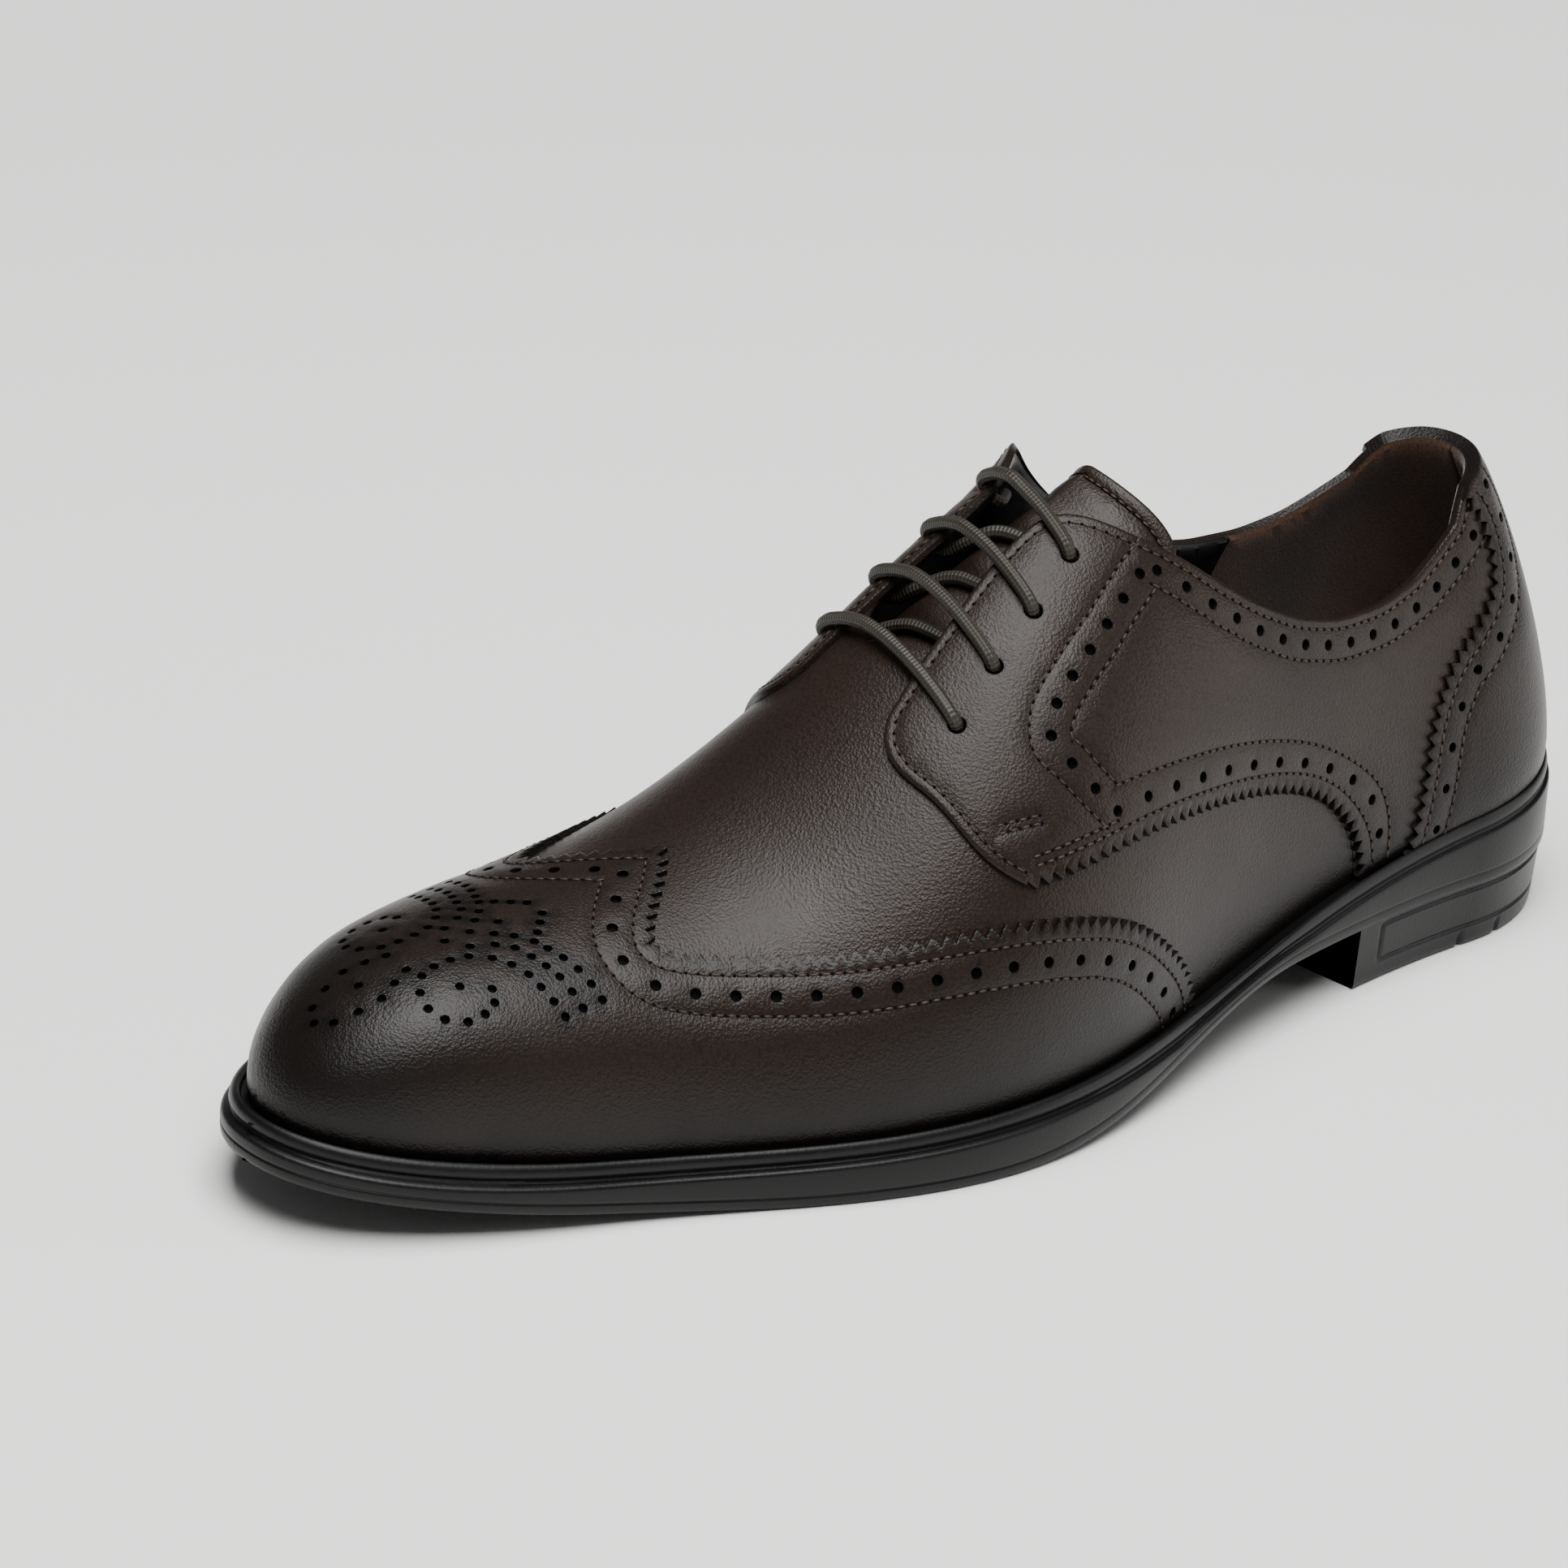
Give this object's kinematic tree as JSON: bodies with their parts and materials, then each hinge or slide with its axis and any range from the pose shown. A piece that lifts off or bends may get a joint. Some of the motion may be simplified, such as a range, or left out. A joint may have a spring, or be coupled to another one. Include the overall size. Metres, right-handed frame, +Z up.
{
  "type": "brogue shoe",
  "caption": "Left derby shoe with a wing cap, punched and pinked overlays, open lacing, and a moulded sole with a low block heel.",
  "frame": {"origin": "centre of the sole's length and width, on the plane that the shoe stands on", "axes": "+Z up, +Y towards the heel, -Y towards the toe, +X towards the outer side of the left foot"},
  "size_m": [0.109, 0.305, 0.1142],
  "materials": {
    "sole_rubber": "moulded black rubber, satin",
    "lining_leather": "smooth near-black lining leather",
    "vamp_leather": "fine-grained dark brown calf leather, satin",
    "burnished_leather": "dark brown calf leather, burnished to near black at its ends",
    "quarter_leather": "fine-grained dark brown calf leather, satin",
    "tongue_leather": "dark brown calf leather with a stitched edge",
    "waxed_cord": "round braided cord, waxed, olive brown"
  },
  "bodies": {
    "root": {"outsole": "sole_rubber", "insole": "lining_leather", "upper": "vamp_leather", "wing_cap": "burnished_leather", "heel_counter": "burnished_leather", "quarter_outer": "quarter_leather", "quarter_inner": "quarter_leather", "tongue": "tongue_leather", "lace": "waxed_cord"}
  },
  "joints": []
}
